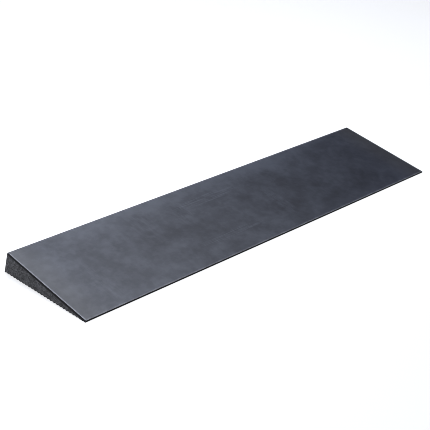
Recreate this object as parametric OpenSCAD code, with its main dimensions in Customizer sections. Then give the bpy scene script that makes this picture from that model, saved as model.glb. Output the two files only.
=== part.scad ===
// Rubber threshold ramp for a wheelchair: a wedge core with grip ribs under it,
// and a smooth top sheet bonded over its slope.
// X runs along the doorway, the toe points to -Y and the tall back stands at +Y.
// The origin is on the floor, under the middle of the base.

/* [Overall size] */
// Length of the base along the doorway
base_length = 914; // [600:1:1200]
// Depth of the base, from the foot of the back to the toe
base_depth = 213; // [150:1:400]
// Rise from the floor to the back edge of the top
rise = 38; // [20:1:60]

/* [Faces] */
// Lean of the back face from plumb, foot outwards, in degrees
back_rake = 10; // [0:0.5:15]
// Draft of each end face from plumb, foot outwards, in degrees
end_draft = 3; // [0:0.5:8]

/* [Top sheet] */
// Thickness of the top sheet measured plumb, which is also the height of the toe
toe_height = 3; // [2:0.5:6]

/* [Core] */
// Height of the blunt front edge of the core, under the sheet
nose_height = 1; // [0.5:0.25:2]

/* [Grip ribs] */
// Width of the flat crest of a rib
rib_crest = 4.2; // [2:0.1:10]
// Width of a groove at its mouth
groove_width = 4; // [3:0.5:10]
// Depth of a groove where the core is thick enough
groove_depth = 2; // [1:0.5:6]
// Lean of each side of a groove, as a width
groove_flank = 0.8; // [0:0.2:1.2]
// Least rubber kept between a groove and the top sheet
groove_web = 0.8; // [0.6:0.2:3]
// Shallowest groove worth moulding
groove_least = 0.5; // [0.4:0.1:1]

/* [Hidden] */

// The toe and the foot of the back, along Y
toe_y = -base_depth / 2;
foot_y = base_depth / 2;

// Back edge of the top, and the fall of the slope for each millimetre of depth
rake = tan(back_rake);
back_edge_y = foot_y - rise * rake;
slope = (rise - toe_height) / (back_edge_y - toe_y);

// Where the underside of the sheet, which starts at the foot of the toe, meets the back face
seam_y = (foot_y + slope * rake * toe_y) / (1 + slope * rake);
seam_z = slope * (seam_y - toe_y);

// Front edge of the core
nose_y = toe_y + nose_height / slope;

// Ribs start with a crest at the foot of the back and repeat towards the toe
rib_pitch = rib_crest + groove_width;
groove_count = floor((base_depth - rib_crest) / rib_pitch);

// How far the end cutter runs past the solids
overrun = 10;

function groove_back(i) = foot_y - rib_crest - i * rib_pitch;
function groove_front(i) = groove_back(i) - groove_width;
function groove_cut(i) = min(groove_depth, slope * (groove_front(i) - toe_y) - groove_web);

// Four corners of each groove, from the back towards the toe
function groove_outline() = [
    for (i = [0 : groove_count - 1])
        if (groove_cut(i) >= groove_least)
            each [
                [groove_back(i), 0],
                [groove_back(i) - groove_flank, groove_cut(i)],
                [groove_front(i) + groove_flank, groove_cut(i)],
                [groove_front(i), 0]
            ]
];

function core_outline() = concat(
    [[foot_y, 0]],
    groove_outline(),
    [[nose_y, 0], [nose_y, nose_height], [seam_y, seam_z]]
);

function sheet_outline() = [
    [toe_y, 0],
    [seam_y, seam_z],
    [back_edge_y, rise],
    [toe_y, toe_height]
];

// Half the length of the ramp at height z
function half_length(z) = base_length / 2 - z * tan(end_draft);

// Everything between the two drafted end faces
module between_ends() {
    low = -overrun;
    high = rise + overrun;
    rotate([90, 0, 0])
        linear_extrude(height = base_depth + 2 * overrun, center = true)
            polygon([
                [-half_length(low), low],
                [half_length(low), low],
                [half_length(high), high],
                [-half_length(high), high]
            ]);
}

// A side outline, drawn in Y and Z, run along the doorway and trimmed at both ends
module run(outline) {
    intersection() {
        rotate([90, 0, 90])
            linear_extrude(height = base_length + 2 * overrun, center = true)
                polygon(outline);
        between_ends();
    }
}

module wedge_core() {
    color([0.21, 0.21, 0.23])
        run(core_outline());
}

module top_sheet() {
    color([0.33, 0.34, 0.38])
        run(sheet_outline());
}

wedge_core();
top_sheet();
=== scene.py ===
"""A rubber threshold ramp: a wedge core with grip ribs, and a smooth top sheet bonded over it.

The file is laid out as an add-on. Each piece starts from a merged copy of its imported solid,
is softened with mesh operators and gets a procedural rubber.
"""

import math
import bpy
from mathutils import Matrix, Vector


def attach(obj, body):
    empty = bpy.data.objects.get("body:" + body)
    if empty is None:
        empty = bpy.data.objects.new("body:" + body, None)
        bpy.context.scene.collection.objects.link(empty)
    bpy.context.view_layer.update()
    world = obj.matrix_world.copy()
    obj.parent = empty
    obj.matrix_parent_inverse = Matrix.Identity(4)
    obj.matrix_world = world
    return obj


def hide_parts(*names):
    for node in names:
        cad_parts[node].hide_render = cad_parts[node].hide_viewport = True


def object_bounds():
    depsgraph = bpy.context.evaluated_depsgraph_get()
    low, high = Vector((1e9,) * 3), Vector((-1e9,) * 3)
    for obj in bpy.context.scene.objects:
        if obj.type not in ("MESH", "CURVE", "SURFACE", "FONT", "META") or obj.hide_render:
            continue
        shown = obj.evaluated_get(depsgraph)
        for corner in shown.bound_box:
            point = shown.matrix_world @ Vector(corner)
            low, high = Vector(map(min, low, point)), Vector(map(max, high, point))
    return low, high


bl_info = {
    "name": "Rubber Threshold Ramp",
    "version": (1, 0, 0),
    "blender": (4, 5, 0),
    "location": "View3D > Sidebar > Ramp",
    "description": "Builds the core, the top sheet and a plain studio for a rubber threshold ramp",
    "category": "Object",
}

import bmesh
import bpy
from bpy.props import FloatProperty, FloatVectorProperty, IntProperty, PointerProperty
from mathutils import Matrix, Vector, noise

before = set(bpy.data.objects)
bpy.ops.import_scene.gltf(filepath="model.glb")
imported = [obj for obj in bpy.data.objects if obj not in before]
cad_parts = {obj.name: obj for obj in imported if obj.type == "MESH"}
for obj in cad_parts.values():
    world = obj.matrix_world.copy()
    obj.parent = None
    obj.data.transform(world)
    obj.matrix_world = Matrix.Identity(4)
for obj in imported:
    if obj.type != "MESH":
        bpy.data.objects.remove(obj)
CAD_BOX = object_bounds()

# Mesh tests: points closer than this are one, faces bent less than this are one, a face whose
# normal lies this much along an axis faces that way, and edges bent more than this stay crisp
MERGE_DISTANCE = 1e-6
FLAT_ANGLE = math.radians(0.05)
FACING = 0.9
CRISP_ANGLE = math.radians(30)

# Vertex attribute that says how rubbed the running face is and how much painted highlight it carries,
# and its values at the edges
WEAR_AND_HIGHLIGHT = "wear_and_highlight"
TOE_WEAR_AND_HIGHLIGHT = 0.9
END_WEAR_AND_HIGHLIGHT = 0.8
BACK_WEAR_AND_HIGHLIGHT = 0.4

# Middle and reach, along X and Y in metres, of the scuffs drawn along the ramp, of the marks
# left across it, and of the patches with more haze and with less
SCUFF_PLACES = (((-0.035, 0.052), (0.10, 0.016)), ((-0.075, -0.057), (0.10, 0.012)))
MARK_PLACES = (
    ((-0.37, -0.035), (0.022, 0.075)),
    ((-0.20, 0.045), (0.035, 0.045)),
    ((-0.11, 0.030), (0.030, 0.040)),
    ((0.09, -0.030), (0.018, 0.065)),
)
HAZY_PLACES = (
    ((-0.19, -0.060), (0.14, 0.040)),
    ((-0.28, 0.060), (0.06, 0.040)),
    ((0.21, 0.055), (0.08, 0.040)),
    ((0.13, -0.075), (0.05, 0.025)),
    ((-0.41, -0.020), (0.05, 0.065)),
    ((0.45, -0.095), (0.05, 0.050)),
)
CLEAR_PLACES = (
    ((0.115, 0.010), (0.055, 0.085)),
    ((-0.20, 0.0), (0.08, 0.030)),
    ((0.43, 0.095), (0.09, 0.045)),
)

# Height of the middle of each of those places, and how far it reaches up and down
PATCH_HEIGHT = 0.02
PATCH_DEPTH = 0.1

# Where the running face turns paler towards its edges, in metres from the middle of the ramp
BACK_BAND = (0.045, 0.100)
BACK_SPAN = (0.22, 0.42)
FRONT_BAND = (-0.060, -0.104)
END_BAND = (0.385, 0.455)

# Which of the sheet's two materials a face has: the smooth running rubber or the trimmed edge, whose
# dark colour is partly painted shade
SMOOTH = 0
CUT_AND_SHADED = 1

# Half the side of the studio floor, and how far its glow fades in under the ramp's outline
FLOOR_REACH = 8.0
GLOW_FADE = 0.002


# Settings a user would change


class RampShapeSettings(bpy.types.PropertyGroup):
    """Sizes of the softened edges and of the unevenness of the running face"""

    corner_radius: FloatProperty(
        name="Corner radius", description="Rounding of the two upright corners at the back",
        default=0.0025, min=0.0005, max=0.006, unit="LENGTH",
    )
    arris_radius: FloatProperty(
        name="Arris radius", description="Rounding of the running face at its ends and back",
        default=0.0016, min=0.0002, max=0.0022, unit="LENGTH",
    )
    lip_radius: FloatProperty(
        name="Lip radius", description="Rounding around the face of the toe",
        default=0.0006, min=0.0001, max=0.001, unit="LENGTH",
    )
    seam_radius: FloatProperty(
        name="Seam radius", description="Rounding on both sides of the seam under the sheet",
        default=0.0005, min=0.0001, max=0.0006, unit="LENGTH",
    )
    rib_radius: FloatProperty(
        name="Rib radius", description="Rounding on the edges of the grip ribs",
        default=0.0002, min=0.00005, max=0.0003, unit="LENGTH",
    )
    # The rubbed border of this width carries a painted highlight as well as wear
    worn_and_highlight_width: FloatProperty(
        name="Worn width", description="How far the rubbed border reaches onto the running face",
        default=0.003, min=0.0003, max=0.01, unit="LENGTH",
    )
    edge_steps: IntProperty(
        name="Edge steps", description="Segments across each rounded edge", default=4, min=1, max=8,
    )
    cell: FloatProperty(
        name="Cell", description="Spacing of the cuts that let the running face undulate",
        default=0.012, min=0.005, max=0.05, unit="LENGTH",
    )
    swell: FloatProperty(
        name="Swell", description="Depth of the shallow hollows in the running face",
        default=0.0002, min=0.0, max=0.001, unit="LENGTH",
    )
    swell_size: FloatProperty(
        name="Swell size", description="Width of a shallow hollow",
        default=0.11, min=0.03, max=0.5, unit="LENGTH",
    )


class RampColourSettings(bpy.types.PropertyGroup):
    """Colours of the rubber"""

    sheet: FloatVectorProperty(
        name="Sheet", description="Smooth rubber of the running face", subtype="COLOR",
        default=(0.0165, 0.0175, 0.0245), min=0.0, max=1.0,
    )
    sheet_bloom: FloatVectorProperty(
        name="Sheet bloom", description="Paler haze in patches on the running face",
        subtype="COLOR", default=(0.049, 0.055, 0.073), min=0.0, max=1.0,
    )
    dust: FloatVectorProperty(
        name="Dust", description="Neutral dust along the ends of the running face",
        subtype="COLOR", default=(0.032, 0.030, 0.030), min=0.0, max=1.0,
    )
    # Paler rubbed rubber that also stands in as a painted highlight along the arris and toe
    worn_edge_and_highlight: FloatVectorProperty(
        name="Worn edge", description="Rubbed rubber along the arris of the running face",
        subtype="COLOR", default=(0.175, 0.180, 0.195), min=0.0, max=1.0,
    )
    # The trimmed edge is darker than the running face, partly as painted shade along the sheet's sides
    # and toe
    cut_edge_and_shade: FloatVectorProperty(
        name="Cut edge", description="Trimmed edge of the top sheet", subtype="COLOR",
        default=(0.011, 0.011, 0.012), min=0.0, max=1.0,
    )
    core: FloatVectorProperty(
        name="Core", description="Moulded rubber of the wedge", subtype="COLOR",
        default=(0.012, 0.012, 0.013), min=0.0, max=1.0,
    )
    core_crumb: FloatVectorProperty(
        name="Core crumb", description="Palest crumbs in the moulded rubber", subtype="COLOR",
        default=(0.079, 0.079, 0.088), min=0.0, max=1.0,
    )


class RampStageSettings(bpy.types.PropertyGroup):
    """Floor, lights and camera"""

    floor: FloatVectorProperty(
        name="Floor", description="Matt paint of the studio floor", subtype="COLOR",
        default=(0.40, 0.40, 0.40), min=0.0, max=1.0,
    )
    floor_glow: FloatProperty(
        name="Floor glow", description="Light that the floor gives off around the ramp",
        default=0.60, min=0.0, max=2.0,
    )
    sky: FloatProperty(
        name="Sky", description="Strength of the even light from all round",
        default=0.02, min=0.0, max=5.0,
    )
    overhead_power: FloatProperty(
        name="Overhead softbox", description="Power of the softbox high behind the ramp",
        default=57.0, min=0.0, subtype="POWER", unit="POWER",
    )
    high_power: FloatProperty(
        name="High softbox", description="Power of the softbox high behind the right half",
        default=16.0, min=0.0, subtype="POWER", unit="POWER",
    )
    back_power: FloatProperty(
        name="Back softbox", description="Power of the softbox lower down behind the right half",
        default=6.6, min=0.0, subtype="POWER", unit="POWER",
    )
    side_power: FloatProperty(
        name="Side softbox", description="Power of the softbox at the left end",
        default=28.0, min=0.0, subtype="POWER", unit="POWER",
    )
    far_power: FloatProperty(
        name="Far softbox", description="Power of the softbox past the right end",
        default=5.0, min=0.0, subtype="POWER", unit="POWER",
    )
    light_tint: FloatVectorProperty(
        name="Light tint", description="Cool white of the softboxes behind the ramp and the sky",
        subtype="COLOR", default=(0.820, 0.875, 1.0), min=0.0, max=1.0,
    )
    side_tint: FloatVectorProperty(
        name="Side tint", description="White of the softboxes at the two ends", subtype="COLOR",
        default=(0.91, 0.94, 1.0), min=0.0, max=1.0,
    )
    light_distance: FloatProperty(
        name="Light distance", description="Distance of each softbox from the ramp",
        default=2.6, min=1.0, unit="LENGTH",
    )
    light_size: FloatProperty(
        name="Light size", description="Side of each square softbox",
        default=1.0, min=0.1, unit="LENGTH",
    )
    softness: FloatProperty(
        name="Softness", description="How softly the fine detail of the picture is drawn",
        default=0.75, min=0.1, max=3.0,
    )
    view_distance: FloatProperty(
        name="Distance", description="Distance from the camera to its aim",
        default=2.061, min=0.5, unit="LENGTH",
    )
    view_heading: FloatProperty(
        name="Heading", description="Direction of view, turned from +Y towards +X",
        default=math.radians(46.95), unit="ROTATION", subtype="ANGLE",
    )
    view_drop: FloatProperty(
        name="Drop", description="Angle of the view below level",
        default=math.radians(26.20), unit="ROTATION", subtype="ANGLE",
    )
    view_roll: FloatProperty(
        name="Roll", description="Turn of the camera about its own view",
        default=math.radians(3.34), unit="ROTATION", subtype="ANGLE",
    )
    focal_length: FloatProperty(
        name="Focal length", description="Lens of the camera on a 36 mm sensor, in millimetres",
        default=91.28, min=20.0, max=300.0,
    )
    aim_offset: FloatVectorProperty(
        name="Aim offset", description="Where the camera aims, from the middle of the ramp",
        default=(-0.0316, 0.0274, -0.0167), size=3, subtype="TRANSLATION", unit="LENGTH",
    )


# Mesh work


def merged_copy(node):
    """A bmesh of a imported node, with its loose triangles joined into whole flat faces."""
    bm = bmesh.new()
    bm.from_mesh(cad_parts[node].data)
    bmesh.ops.remove_doubles(bm, verts=bm.verts[:], dist=MERGE_DISTANCE)
    bmesh.ops.dissolve_limit(bm, angle_limit=FLAT_ANGLE, verts=bm.verts[:], edges=bm.edges[:])
    bm.normal_update()
    return bm


def is_end(face):
    return abs(face.normal.x) > FACING


def is_top(face):
    return face.normal.z > FACING


def is_under(face):
    return face.normal.z < -FACING


def is_back(face):
    return face.normal.y > FACING


def is_toe(face):
    return face.normal.y < -FACING


def edges_between(bm, first, second):
    """Edges with a face that passes the first test on one side and the second on the other."""
    chosen = []
    for edge in bm.edges:
        if len(edge.link_faces) == 2:
            a, b = edge.link_faces
            if (first(a) and second(b)) or (first(b) and second(a)):
                chosen.append(edge)
    return chosen


def round_edges(bm, edges, radius, steps):
    """Bevels edges to a round of the given radius and returns the new faces."""
    done = bmesh.ops.bevel(
        bm, geom=edges, offset=radius, offset_type="OFFSET", segments=steps, profile=0.5,
        affect="EDGES", clamp_overlap=True, material=-1, harden_normals=False,
    )
    bm.normal_update()
    return done["faces"]


def cut_across(bm, axis, stations):
    """Cuts the mesh square to an axis at each station along it."""
    for station in stations:
        point = Vector((0.0, 0.0, 0.0))
        point[axis] = station
        normal = Vector((0.0, 0.0, 0.0))
        normal[axis] = 1.0
        geometry = bm.verts[:] + bm.edges[:] + bm.faces[:]
        bmesh.ops.bisect_plane(bm, geom=geometry, dist=MERGE_DISTANCE, plane_co=point, plane_no=normal)


def even_stations(low, high, cell):
    """Places between low and high, about one cell apart."""
    count = max(1, round((high - low) / cell))
    return [low + (high - low) * i / count for i in range(count + 1)]


def finish_piece(bm, name, materials, node):
    """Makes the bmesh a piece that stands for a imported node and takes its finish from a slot."""
    mesh = bpy.data.meshes.new(name)
    bm.to_mesh(mesh)
    bm.free()
    for material in materials:
        mesh.materials.append(material)
    piece = bpy.data.objects.new(name, mesh)
    bpy.context.scene.collection.objects.link(piece)
    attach(piece, "root")
    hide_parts(node)
    return piece


# Shader helpers and the effects that the materials share


class Graph:
    """Adds nodes to a tree, setting or linking their inputs by name."""

    def __init__(self, tree):
        self.tree = tree

    def add(self, kind, inputs=None, **settings):
        made = self.tree.nodes.new(kind)
        for key, value in settings.items():
            setattr(made, key, value)
        for key, value in (inputs or {}).items():
            if isinstance(value, bpy.types.NodeSocket):
                self.tree.links.new(value, made.inputs[key])
            else:
                made.inputs[key].default_value = value
        return made

    def math(self, operation, first, second=0.0, clamp=False):
        made = self.add("ShaderNodeMath", {0: first, 1: second}, operation=operation)
        made.use_clamp = clamp
        return made.outputs[0]

    def weigh(self, terms, clamp=False):
        """Sum of values, each times its own weight."""
        total = None
        for value, weight in terms:
            part = self.math("MULTIPLY", value, weight)
            total = part if total is None else self.math("ADD", total, part)
        return self.math("ADD", total, 0.0, clamp=True) if clamp else total

    def noise(self, vector, scale, detail, roughness):
        values = {"Vector": vector, "Scale": scale, "Detail": detail, "Roughness": roughness}
        return self.add("ShaderNodeTexNoise", values).outputs[0]

    def spread(self, value, low, high, to_low=0.0, to_high=1.0):
        values = {"Value": value, "From Min": low, "From Max": high}
        values.update({"To Min": to_low, "To Max": to_high})
        made = self.add("ShaderNodeMapRange", values, interpolation_type="SMOOTHSTEP")
        return made.outputs[0]

    def blend_colours(self, amount, first, second):
        made = self.add("ShaderNodeMix", {0: amount, 6: first, 7: second}, data_type="RGBA")
        return made.outputs[2]

    def group(self, tree, inputs):
        made = self.add("ShaderNodeGroup", node_tree=tree)
        for key, value in inputs.items():
            if isinstance(value, bpy.types.NodeSocket):
                self.tree.links.new(value, made.inputs[key])
            else:
                made.inputs[key].default_value = value
        return made


def colour(rgb):
    return (rgb[0], rgb[1], rgb[2], 1.0)


def new_group(name, inputs, outputs):
    """A shader node group with the named sockets, and its input and output nodes."""
    tree = bpy.data.node_groups.new(name, "ShaderNodeTree")
    for socket, kind, default in inputs:
        made = tree.interface.new_socket(name=socket, in_out="INPUT", socket_type=kind)
        if default is not None:
            made.default_value = default
    for socket, kind in outputs:
        tree.interface.new_socket(name=socket, in_out="OUTPUT", socket_type=kind)
    graph = Graph(tree)
    return graph, graph.add("NodeGroupInput"), graph.add("NodeGroupOutput")


def cloud_group():
    """Soft patches of a given size."""
    name = "rubber_cloud"
    if name in bpy.data.node_groups:
        return bpy.data.node_groups[name]
    inputs = [
        ("Vector", "NodeSocketVector", None),
        ("Offset", "NodeSocketVector", (0.0, 0.0, 0.0)),
        ("Size", "NodeSocketFloat", 0.1),
        ("Low", "NodeSocketFloat", 0.35),
        ("High", "NodeSocketFloat", 0.65),
    ]
    graph, source, sink = new_group(name, inputs, [("Mask", "NodeSocketFloat")])
    scale = graph.math("DIVIDE", 1.0, source.outputs["Size"])
    values = {0: source.outputs["Vector"], 1: source.outputs["Offset"]}
    moved = graph.add("ShaderNodeVectorMath", values, operation="ADD")
    raw = graph.noise(moved.outputs[0], scale, 3.0, 0.55)
    mask = graph.spread(raw, source.outputs["Low"], source.outputs["High"])
    graph.tree.links.new(mask, sink.inputs["Mask"])
    return graph.tree


def streak_group():
    """Fine marks drawn out along the ramp."""
    name = "rubber_streaks"
    if name in bpy.data.node_groups:
        return bpy.data.node_groups[name]
    inputs = [
        ("Vector", "NodeSocketVector", None),
        ("Length", "NodeSocketFloat", 0.3),
        ("Width", "NodeSocketFloat", 0.006),
        ("Low", "NodeSocketFloat", 0.5),
        ("High", "NodeSocketFloat", 0.75),
    ]
    graph, source, sink = new_group(name, inputs, [("Mask", "NodeSocketFloat")])
    along = graph.math("DIVIDE", 1.0, source.outputs["Length"])
    across = graph.math("DIVIDE", 1.0, source.outputs["Width"])
    stretch = graph.add("ShaderNodeCombineXYZ", {"X": along, "Y": across, "Z": across})
    values = {0: source.outputs["Vector"], 1: stretch.outputs[0]}
    drawn = graph.add("ShaderNodeVectorMath", values, operation="MULTIPLY")
    raw = graph.noise(drawn.outputs[0], 1.0, 3.0, 0.6)
    mask = graph.spread(raw, source.outputs["Low"], source.outputs["High"])
    graph.tree.links.new(mask, sink.inputs["Mask"])
    return graph.tree


def patch_group():
    """One soft-edged round or oblong patch at a given place."""
    name = "rubber_patch"
    if name in bpy.data.node_groups:
        return bpy.data.node_groups[name]
    inputs = [
        ("Vector", "NodeSocketVector", None),
        ("Middle", "NodeSocketVector", (0.0, 0.0, 0.0)),
        ("Reach", "NodeSocketVector", (0.1, 0.1, 0.1)),
    ]
    graph, source, sink = new_group(name, inputs, [("Mask", "NodeSocketFloat")])
    values = {0: source.outputs["Vector"], 1: source.outputs["Middle"]}
    moved = graph.add("ShaderNodeVectorMath", values, operation="SUBTRACT")
    values = {0: moved.outputs[0], 1: source.outputs["Reach"]}
    scaled = graph.add("ShaderNodeVectorMath", values, operation="DIVIDE")
    away = graph.add("ShaderNodeVectorMath", {0: scaled.outputs[0]}, operation="LENGTH")
    mask = graph.spread(away.outputs["Value"], 0.5, 1.0, 1.0, 0.0)
    graph.tree.links.new(mask, sink.inputs["Mask"])
    return graph.tree


def grain_group():
    """Fine pimpled grain of moulded rubber, as a height and as a mask of its raised grains."""
    name = "rubber_grain"
    if name in bpy.data.node_groups:
        return bpy.data.node_groups[name]
    inputs = [("Vector", "NodeSocketVector", None), ("Size", "NodeSocketFloat", 0.0015)]
    outputs = [("Height", "NodeSocketFloat"), ("Grains", "NodeSocketFloat")]
    graph, source, sink = new_group(name, inputs, outputs)
    scale = graph.math("DIVIDE", 1.0, source.outputs["Size"])
    fine = graph.noise(source.outputs["Vector"], scale, 4.0, 0.6)
    cells = graph.add(
        "ShaderNodeTexVoronoi", {"Vector": source.outputs["Vector"], "Scale": scale},
        feature="SMOOTH_F1",
    )
    bumps = graph.math("SUBTRACT", 1.0, cells.outputs["Distance"])
    height = graph.math("ADD", graph.math("MULTIPLY", fine, 0.6), graph.math("MULTIPLY", bumps, 0.4))
    graph.tree.links.new(height, sink.inputs["Height"])
    graph.tree.links.new(graph.spread(fine, 0.5, 0.72), sink.inputs["Grains"])
    return graph.tree


def crumb_group():
    """Packed rubber crumbs: a tone for each crumb, the gaps between them and a height."""
    name = "rubber_crumb"
    if name in bpy.data.node_groups:
        return bpy.data.node_groups[name]
    inputs = [("Vector", "NodeSocketVector", None), ("Size", "NodeSocketFloat", 0.0025)]
    outputs = [(socket, "NodeSocketFloat") for socket in ("Tone", "Gap", "Height")]
    graph, source, sink = new_group(name, inputs, outputs)
    scale = graph.math("DIVIDE", 1.0, source.outputs["Size"])
    values = {"Vector": source.outputs["Vector"], "Scale": scale}
    cells = graph.add("ShaderNodeTexVoronoi", values, feature="F1")
    walls = graph.add("ShaderNodeTexVoronoi", values, feature="DISTANCE_TO_EDGE")
    tone = graph.add("ShaderNodeSeparateColor", {0: cells.outputs["Color"]}).outputs[0]
    inside = walls.outputs["Distance"]
    height = graph.weigh([(graph.spread(inside, 0.0, 0.25), 0.7), (tone, 0.3)])
    graph.tree.links.new(tone, sink.inputs["Tone"])
    graph.tree.links.new(graph.spread(inside, 0.0, 0.10, 1.0, 0.0), sink.inputs["Gap"])
    graph.tree.links.new(height, sink.inputs["Height"])
    return graph.tree


def new_material(name):
    """An empty node material: its graph, its Principled shader and object coordinates."""
    material = bpy.data.materials.new(name)
    material.use_nodes = True
    material.node_tree.nodes.clear()
    graph = Graph(material.node_tree)
    shader = graph.add("ShaderNodeBsdfPrincipled")
    output = graph.add("ShaderNodeOutputMaterial")
    material.node_tree.links.new(shader.outputs[0], output.inputs[0])
    place = graph.add("ShaderNodeTexCoord").outputs["Object"]
    return material, graph, shader, place


def add_bump(graph, shader, height, depth):
    """Raises the surface by a height map of the given depth in metres."""
    bump = graph.add("ShaderNodeBump", {"Strength": 1.0, "Distance": depth, "Height": height})
    graph.tree.links.new(bump.outputs[0], shader.inputs["Normal"])


def marked_places(graph, place, places):
    """Mask of the patches at the given places, each with its middle and its reach."""
    total = None
    for middle, reach in places:
        values = {"Vector": place, "Middle": (*middle, PATCH_HEIGHT), "Reach": (*reach, PATCH_DEPTH)}
        mask = graph.group(patch_group(), values).outputs[0]
        total = mask if total is None else graph.math("MAXIMUM", total, mask)
    return total


def sheet_rubber(colours):
    """Satin rubber: a patchy film over it, paler borders, drawn-out scuffs and marks across."""
    material, graph, shader, place = new_material("sheet_rubber")
    cloud = cloud_group()
    wide = {"Vector": place, "Size": 0.12, "Offset": (5.48, 32.88, 0.0)}
    wide = graph.group(cloud, wide).outputs[0]
    close = {"Vector": place, "Size": 0.045, "Offset": (13.70, 27.40, 0.0)}
    close = graph.group(cloud, close).outputs[0]
    small = graph.group(cloud, {"Vector": place, "Size": 0.014}).outputs[0]
    hazy = marked_places(graph, place, HAZY_PLACES)
    clear = marked_places(graph, place, CLEAR_PLACES)
    haze = [(wide, 0.34), (close, 0.38), (small, 0.28), (hazy, 0.22), (clear, -0.22)]
    haze = graph.weigh(haze)

    apart = graph.add("ShaderNodeSeparateXYZ", {0: place})
    from_middle = graph.math("ABSOLUTE", apart.outputs["X"])
    back = graph.spread(apart.outputs["Y"], *BACK_BAND)
    back = graph.math("MULTIPLY", back, graph.spread(from_middle, *BACK_SPAN, 1.0, 0.0))
    front = graph.spread(apart.outputs["Y"], *FRONT_BAND)
    ends = graph.spread(from_middle, *END_BAND)
    border = graph.math("MAXIMUM", front, ends)

    drawn = {"Vector": place, "Length": 0.09, "Width": 0.0030, "Low": 0.45, "High": 0.65}
    scuffs = graph.group(streak_group(), drawn).outputs[0]
    scuffs = graph.math("MULTIPLY", scuffs, marked_places(graph, place, SCUFF_PLACES))
    turned = graph.add("ShaderNodeMapping", {"Vector": place, "Rotation": (0.0, 0.0, math.pi / 2)})
    drawn = {"Vector": turned.outputs[0], "Length": 0.06, "Width": 0.008, "Low": 0.35, "High": 0.70}
    marks = graph.group(streak_group(), drawn).outputs[0]
    marks = graph.math("MULTIPLY", marks, marked_places(graph, place, MARK_PLACES))

    pale = [(haze, 0.55), (back, 0.45), (border, 0.14), (scuffs, 0.35), (marks, 0.20)]
    pale = graph.weigh(pale, clamp=True)
    tone = graph.blend_colours(pale, colour(colours.sheet), colour(colours.sheet_bloom))
    dust = graph.math("MULTIPLY", ends, 0.65)
    tone = graph.blend_colours(dust, tone, colour(colours.dust))
    # Paler rubbed border and toe lip, partly wear and partly a painted highlight
    wear_and_highlight = graph.add("ShaderNodeAttribute", attribute_name=WEAR_AND_HIGHLIGHT).outputs["Fac"]
    worn_and_highlight = graph.math("MULTIPLY", wear_and_highlight, graph.spread(small, 0.0, 1.0, 0.6, 1.0))
    tone = graph.blend_colours(worn_and_highlight, tone, colour(colours.worn_edge_and_highlight))
    graph.tree.links.new(tone, shader.inputs["Base Color"])

    film = [(haze, 0.50), (back, 0.40), (border, 0.12), (scuffs, 0.25), (marks, 0.20)]
    film = graph.weigh(film, clamp=True)
    graph.tree.links.new(graph.spread(film, 0.0, 0.8, 0.62, 0.98), shader.inputs["Coat Weight"])
    graph.tree.links.new(graph.spread(film, 0.0, 1.0, 0.50, 0.60), shader.inputs["Roughness"])
    grain = graph.group(grain_group(), {"Vector": place, "Size": 0.0012}).outputs["Height"]
    waves = graph.noise(place, 1.0 / 0.040, 1.0, 0.4)
    ripples = graph.noise(place, 1.0 / 0.016, 2.0, 0.5)
    height = graph.weigh([(waves, 0.0003), (ripples, 0.0002), (grain, 0.00002)])
    add_bump(graph, shader, height, 1.0)
    shader.inputs["Specular IOR Level"].default_value = 0.05
    shader.inputs["Coat Roughness"].default_value = 0.33
    shader.inputs["Coat IOR"].default_value = 1.5
    return material


def cut_and_shaded_rubber(colours):
    """Dark, dull rubber where the sheet is trimmed, its darkness partly painted shade."""
    material, graph, shader, place = new_material("cut_and_shaded_rubber")
    grain = graph.group(grain_group(), {"Vector": place, "Size": 0.0009})
    drag = graph.group(streak_group(), {"Vector": place, "Length": 0.04, "Width": 0.0012}).outputs[0]
    amount = graph.math("MULTIPLY", graph.math("ADD", grain.outputs["Grains"], drag), 0.35)
    pale = colour([channel * 2.0 for channel in colours.cut_edge_and_shade])
    tone = graph.blend_colours(amount, colour(colours.cut_edge_and_shade), pale)
    graph.tree.links.new(tone, shader.inputs["Base Color"])
    rough = graph.spread(amount, 0.0, 0.7, 0.62, 0.80)
    graph.tree.links.new(rough, shader.inputs["Roughness"])
    add_bump(graph, shader, grain.outputs["Height"], 0.00008)
    shader.inputs["Specular IOR Level"].default_value = 0.12
    return material


def core_rubber(colours):
    """Moulded crumb rubber: packed dark crumbs of different tones, with dull worn patches."""
    material, graph, shader, place = new_material("core_rubber")
    crumbs = graph.group(crumb_group(), {"Vector": place, "Size": 0.0026})
    grain = graph.group(grain_group(), {"Vector": place, "Size": 0.0012})
    patches = graph.group(cloud_group(), {"Vector": place, "Size": 0.02}).outputs[0]
    tones = [(crumbs.outputs["Tone"], 0.7), (patches, 0.2), (grain.outputs["Grains"], 0.2)]
    amount = graph.weigh(tones, clamp=True)
    tone = graph.blend_colours(amount, colour(colours.core), colour(colours.core_crumb))
    gaps = graph.math("MULTIPLY", crumbs.outputs["Gap"], 0.7)
    tone = graph.blend_colours(gaps, tone, colour(colours.cut_edge_and_shade))
    graph.tree.links.new(tone, shader.inputs["Base Color"])
    graph.tree.links.new(graph.spread(amount, 0.0, 1.0, 0.80, 0.58), shader.inputs["Roughness"])
    height = graph.weigh([(crumbs.outputs["Height"], 0.00035), (grain.outputs["Height"], 0.00015)])
    add_bump(graph, shader, height, 1.0)
    shader.inputs["Specular IOR Level"].default_value = 0.4
    return material


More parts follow.
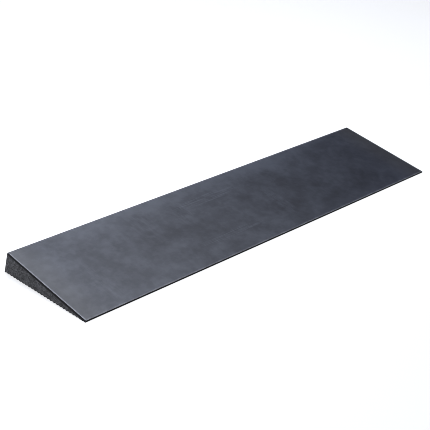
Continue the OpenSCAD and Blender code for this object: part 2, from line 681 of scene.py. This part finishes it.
def floor_paint(tint, glow):
    """Matt pale floor with the faintest unevenness, which glows except under the ramp."""
    material, graph, shader, place = new_material("studio_floor")
    cloud = graph.group(cloud_group(), {"Vector": place, "Size": 0.8}).outputs[0]
    paler = colour([min(1.0, channel * 1.02) for channel in tint])
    tone = graph.blend_colours(cloud, colour(tint), paler)
    graph.tree.links.new(tone, shader.inputs["Base Color"])
    shader.inputs["Roughness"].default_value = 0.9
    apart = graph.add("ShaderNodeSeparateXYZ", {0: place})
    past_end = graph.math("SUBTRACT", graph.math("ABSOLUTE", apart.outputs["X"]), CAD_BOX[1][0])
    past_side = graph.math("SUBTRACT", graph.math("ABSOLUTE", apart.outputs["Y"]), CAD_BOX[1][1])
    past = graph.math("MAXIMUM", past_end, past_side)
    clear = graph.spread(past, -GLOW_FADE, 0.0)
    lit = graph.blend_colours(clear, colour((0.0, 0.0, 0.0)), colour((1.0, 1.0, 1.0)))
    graph.tree.links.new(lit, shader.inputs["Emission Color"])
    shader.inputs["Emission Strength"].default_value = glow
    return material


# Operators


class RAMP_OT_wedge_core(bpy.types.Operator):
    """Build the ribbed wedge core"""

    bl_idname = "ramp.wedge_core"
    bl_label = "Wedge Core"

    def execute(self, context):
        shape = context.scene.ramp_shape
        bm = merged_copy("wedge_core")
        uprights = edges_between(bm, is_end, is_back)
        round_edges(bm, uprights, shape.corner_radius, shape.edge_steps)
        seam = edges_between(bm, is_top, lambda face: not is_top(face))
        round_edges(bm, seam, shape.seam_radius, 2)
        ribs = edges_between(bm, lambda face: face.normal.z < -0.1, lambda face: True)
        round_edges(bm, ribs, shape.rib_radius, 2)
        for face in bm.faces:
            face.smooth = False
        material = core_rubber(context.scene.ramp_colours)
        finish_piece(bm, "ribbed_core", [material], "wedge_core")
        return {"FINISHED"}


class RAMP_OT_top_sheet(bpy.types.Operator):
    """Build the smooth top sheet, whose front edge is the toe"""

    bl_idname = "ramp.top_sheet"
    bl_label = "Top Sheet"

    def execute(self, context):
        shape = context.scene.ramp_shape
        bm = merged_copy("top_sheet")
        wear_and_highlight = bm.verts.layers.float.new(WEAR_AND_HIGHLIGHT)
        for face in bm.faces:
            face.material_index = SMOOTH if is_top(face) else CUT_AND_SHADED
        uprights = edges_between(bm, is_end, is_back)
        round_edges(bm, uprights, shape.corner_radius, shape.edge_steps)
        seam = edges_between(bm, is_under, lambda face: not is_under(face) and not is_toe(face))
        round_edges(bm, seam, shape.seam_radius, 2)
        # The rounded arris takes the dark trimmed rubber too, as a painted shade line along the edge
        # of the running face
        arris = edges_between(bm, is_top, lambda face: not is_top(face) and not is_toe(face))
        for face in round_edges(bm, arris, shape.arris_radius, shape.edge_steps):
            face.material_index = CUT_AND_SHADED
        # The upper half of the rounded toe takes the running rubber and its paler rubbed colour,
        # partly a painted highlight
        front = edges_between(bm, is_toe, lambda face: not is_toe(face) and not is_under(face))
        lip = [face for face in round_edges(bm, front, shape.lip_radius, 2) if face.normal.z > 0]
        for face in lip:
            face.material_index = SMOOTH
        self.rub_and_highlight_edges(bm, lip, wear_and_highlight)
        self.undulate(bm, shape, wear_and_highlight)
        for face in bm.faces:
            face.smooth = True
        colours = context.scene.ramp_colours
        materials = [sheet_rubber(colours), cut_and_shaded_rubber(colours)]
        piece = finish_piece(bm, "running_sheet", materials, "top_sheet")
        piece.data.set_sharp_from_angle(angle=CRISP_ANGLE)
        return {"FINISHED"}

    def running_face(self, bm):
        return max((face for face in bm.faces if is_top(face)), key=lambda face: face.calc_area())

    def rub_and_highlight_edges(self, bm, lip, wear_and_highlight):
        """Marks where the edges of the running face are rubbed and carry a painted highlight: most at
        the toe, least at the back.
        """
        top = self.running_face(bm)
        for vert in top.verts:
            side = vert.normal - top.normal * vert.normal.dot(top.normal)
            amount = abs(side.x) * END_WEAR_AND_HIGHLIGHT + max(side.y, 0.0) * BACK_WEAR_AND_HIGHLIGHT
            vert[wear_and_highlight] = amount / (abs(side.x) + abs(side.y))
        for face in lip:
            for vert in face.verts:
                vert[wear_and_highlight] = TOE_WEAR_AND_HIGHLIGHT

    def undulate(self, bm, shape, wear_and_highlight):
        """Lets the running face sink a little inside its rubbed border, which carries a painted
        highlight, as moulded rubber does.
        """
        top = self.running_face(bm)
        bmesh.ops.inset_region(bm, faces=[top], thickness=shape.worn_and_highlight_width, use_even_offset=True)
        for vert in top.verts:
            vert[wear_and_highlight] = 0.0
        point = top.calc_center_median()
        normal = top.normal.copy()
        xs = [vert.co.x for vert in top.verts]
        ys = [vert.co.y for vert in top.verts]
        left, right, front, back = min(xs), max(xs), min(ys), max(ys)
        cut_across(bm, 0, even_stations(left, right, shape.cell)[1:-1])
        cut_across(bm, 1, even_stations(front, back, shape.cell)[1:-1])
        for vert in bm.verts:
            on_top = abs((vert.co - point).dot(normal)) < MERGE_DISTANCE * 10
            edge = min(vert.co.x - left, right - vert.co.x, vert.co.y - front, back - vert.co.y)
            if on_top and edge > shape.worn_and_highlight_width * 2:
                fade = min(1.0, edge / (shape.swell_size / 4))
                wave = 0.5 + 0.5 * noise.noise(vert.co / shape.swell_size)
                vert.co -= normal * shape.swell * wave * fade
        bm.normal_update()


class RAMP_OT_stage(bpy.types.Operator):
    """Set up the floor, the lights and the camera"""

    bl_idname = "ramp.stage"
    bl_label = "Studio"

    def execute(self, context):
        settings = context.scene.ramp_stage
        low, high = CAD_BOX
        centre = (Vector(low) + Vector(high)) / 2
        self.lay_floor(context, settings, low[2])
        self.hang_lights(context, settings)
        self.place_camera(context, settings, centre)
        context.scene.view_settings.view_transform = "Standard"
        context.scene.view_settings.look = "None"
        context.scene.cycles.filter_width = settings.softness
        return {"FINISHED"}

    def lay_floor(self, context, settings, height):
        bm = bmesh.new()
        lift = Matrix.Translation((0.0, 0.0, height))
        bmesh.ops.create_grid(bm, x_segments=2, y_segments=2, size=FLOOR_REACH, matrix=lift)
        mesh = bpy.data.meshes.new("studio_floor")
        bm.to_mesh(mesh)
        bm.free()
        mesh.materials.append(floor_paint(settings.floor, settings.floor_glow))
        floor = bpy.data.objects.new("studio_floor", mesh)
        context.scene.collection.objects.link(floor)

    def hang_lights(self, context, settings):
        world = bpy.data.worlds.new("studio")
        world.use_nodes = True
        background = world.node_tree.nodes["Background"]
        background.inputs["Color"].default_value = colour(settings.light_tint)
        background.inputs["Strength"].default_value = settings.sky
        context.scene.world = world
        tint, side_tint = settings.light_tint, settings.side_tint
        self.softbox(context, "softbox_overhead", 0, 68, settings.overhead_power, tint)
        self.softbox(context, "softbox_high", 30, 68, settings.high_power, tint)
        self.softbox(context, "softbox_back", 30, 50, settings.back_power, tint)
        self.softbox(context, "softbox_side", -90, 40, settings.side_power, side_tint)
        self.softbox(context, "softbox_far", 60, 50, settings.far_power, side_tint)

    def softbox(self, context, name, heading, height, power, tint):
        """A square area light that faces the ramp from a heading and a height, both in degrees."""
        settings = context.scene.ramp_stage
        turn, lift = math.radians(heading), math.radians(height)
        level = math.cos(lift)
        away = Vector((math.sin(turn) * level, math.cos(turn) * level, math.sin(lift)))
        light = bpy.data.lights.new(name, "AREA")
        light.size = settings.light_size
        light.color = tint
        light.energy = power
        lamp = bpy.data.objects.new(name, light)
        lamp.location = away * settings.light_distance
        lamp.rotation_euler = (-away).to_track_quat("-Z", "Y").to_euler()
        context.scene.collection.objects.link(lamp)

    def place_camera(self, context, settings, centre):
        turn, drop, roll = settings.view_heading, settings.view_drop, settings.view_roll
        level = math.cos(drop)
        forward = Vector((math.sin(turn) * level, math.cos(turn) * level, -math.sin(drop)))
        across = Vector((math.cos(turn), -math.sin(turn), 0.0))
        upward = across.cross(forward)
        right = across * math.cos(roll) + upward * math.sin(roll)
        above = upward * math.cos(roll) - across * math.sin(roll)
        place = centre + Vector(settings.aim_offset) - forward * settings.view_distance
        data = bpy.data.cameras.new("camera")
        data.lens = settings.focal_length
        data.sensor_width = 36.0
        camera = bpy.data.objects.new("camera", data)
        turned = Matrix((right, above, -forward)).transposed().to_4x4()
        camera.matrix_world = Matrix.Translation(place) @ turned
        context.scene.collection.objects.link(camera)
        context.scene.camera = camera


class RAMP_PT_panel(bpy.types.Panel):
    """Buttons and settings for the ramp"""

    bl_label = "Rubber Threshold Ramp"
    bl_idname = "RAMP_PT_panel"
    bl_space_type = "VIEW_3D"
    bl_region_type = "UI"
    bl_category = "Ramp"

    def draw(self, context):
        layout = self.layout
        for operator in OPERATORS:
            layout.operator(operator.bl_idname)
        for group in (context.scene.ramp_shape, context.scene.ramp_colours, context.scene.ramp_stage):
            box = layout.box()
            for name in group.__annotations__:
                box.prop(group, name)


SETTINGS = {
    "ramp_shape": RampShapeSettings,
    "ramp_colours": RampColourSettings,
    "ramp_stage": RampStageSettings,
}
OPERATORS = (RAMP_OT_wedge_core, RAMP_OT_top_sheet, RAMP_OT_stage)


def register():
    for name, group in SETTINGS.items():
        bpy.utils.register_class(group)
        setattr(bpy.types.Scene, name, PointerProperty(type=group))
    for operator in OPERATORS:
        bpy.utils.register_class(operator)
    bpy.utils.register_class(RAMP_PT_panel)


def unregister():
    bpy.utils.unregister_class(RAMP_PT_panel)
    for operator in reversed(OPERATORS):
        bpy.utils.unregister_class(operator)
    for name, group in reversed(SETTINGS.items()):
        delattr(bpy.types.Scene, name)
        bpy.utils.unregister_class(group)


def main():
    register()
    bpy.ops.ramp.stage()
    bpy.ops.ramp.wedge_core()
    bpy.ops.ramp.top_sheet()


if __name__ == "__main__":
    main()
